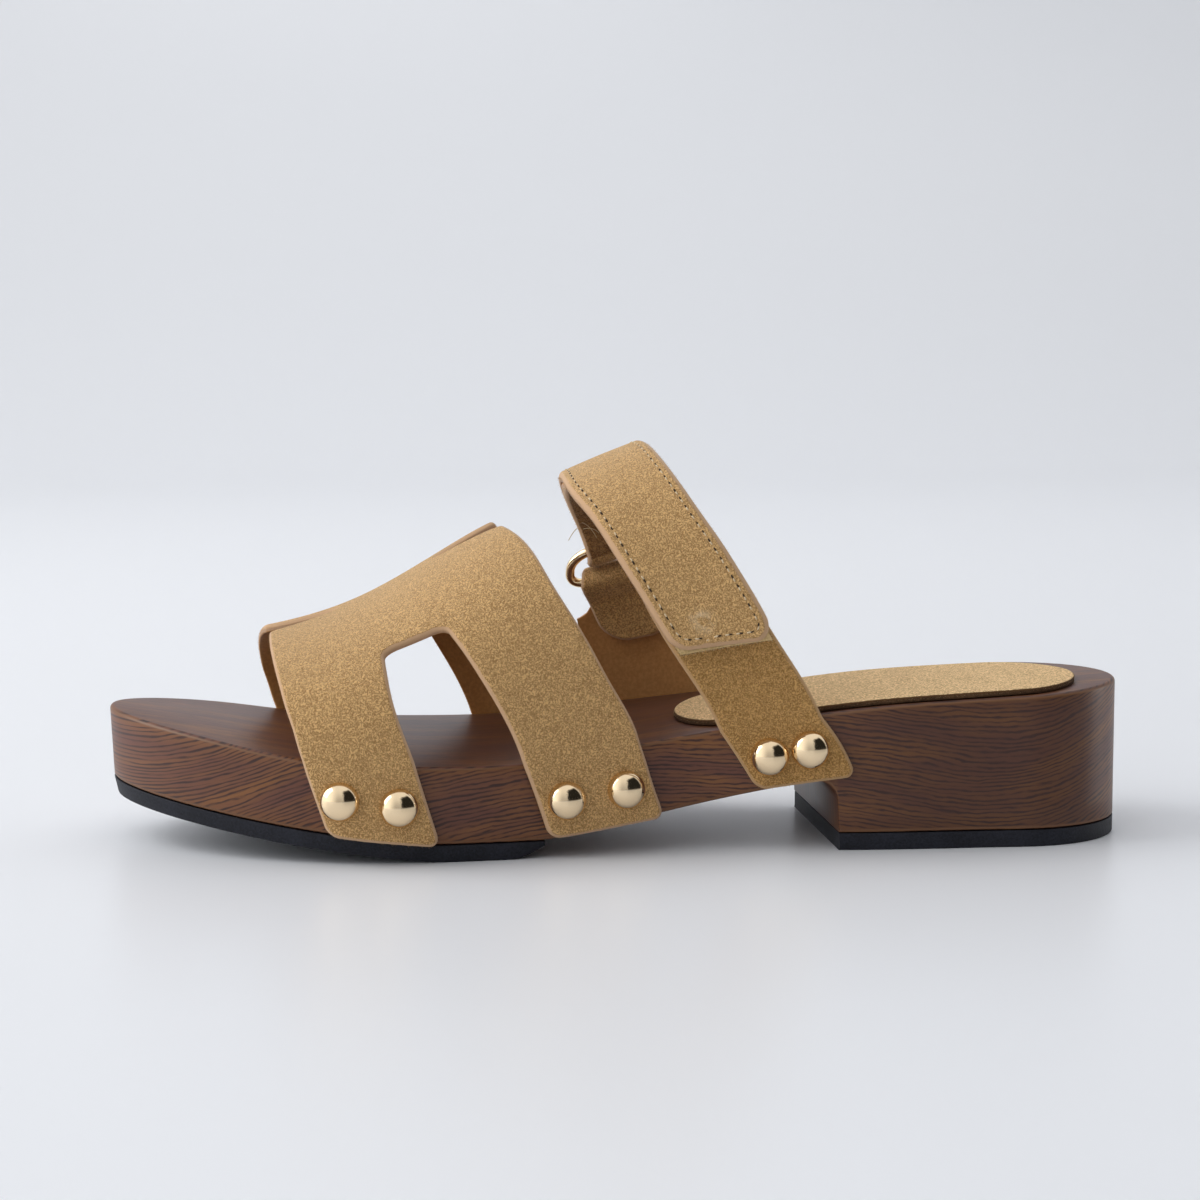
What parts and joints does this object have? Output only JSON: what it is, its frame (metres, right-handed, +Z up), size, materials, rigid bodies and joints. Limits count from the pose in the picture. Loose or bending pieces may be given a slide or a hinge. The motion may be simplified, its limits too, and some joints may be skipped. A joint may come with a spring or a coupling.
{
  "type": "suede slide sandal",
  "caption": "Left slide sandal with a wood-look sole and low block heel, a suede H-shaped forefoot band, an instep strap with flap and ring, and domed gold studs.",
  "frame": {"origin": "on the floor under the middle of the shoe's box", "axes": "+Z up, +X towards the heel, -Y towards the outer side of the foot"},
  "size_m": [0.25, 0.0984, 0.0978],
  "materials": {
    "wood": "satin dark brown wood grain",
    "rubber": "matt black, fine grained",
    "suede": "tan suede with a short nap",
    "pad_suede": "light tan suede with a short nap",
    "tape": "tan brushed loop tape",
    "gold": "polished pale gold plating"
  },
  "bodies": {
    "root": {"sole": "wood", "outsole_forefoot": "rubber", "outsole_heel": "rubber", "insole_pad": "pad_suede", "upper_h_band": "suede", "strap_outer_base": "suede", "fastener_tape": "tape", "strap_flap": "suede", "strap_inner_base": "suede", "strap_ring": "gold", "stud_outer_1": "gold", "stud_outer_2": "gold", "stud_outer_3": "gold", "stud_outer_4": "gold", "stud_outer_5": "gold", "stud_outer_6": "gold", "stud_inner_1": "gold", "stud_inner_2": "gold", "stud_inner_3": "gold", "stud_inner_4": "gold", "stud_inner_5": "gold", "stud_inner_6": "gold"}
  },
  "joints": []
}
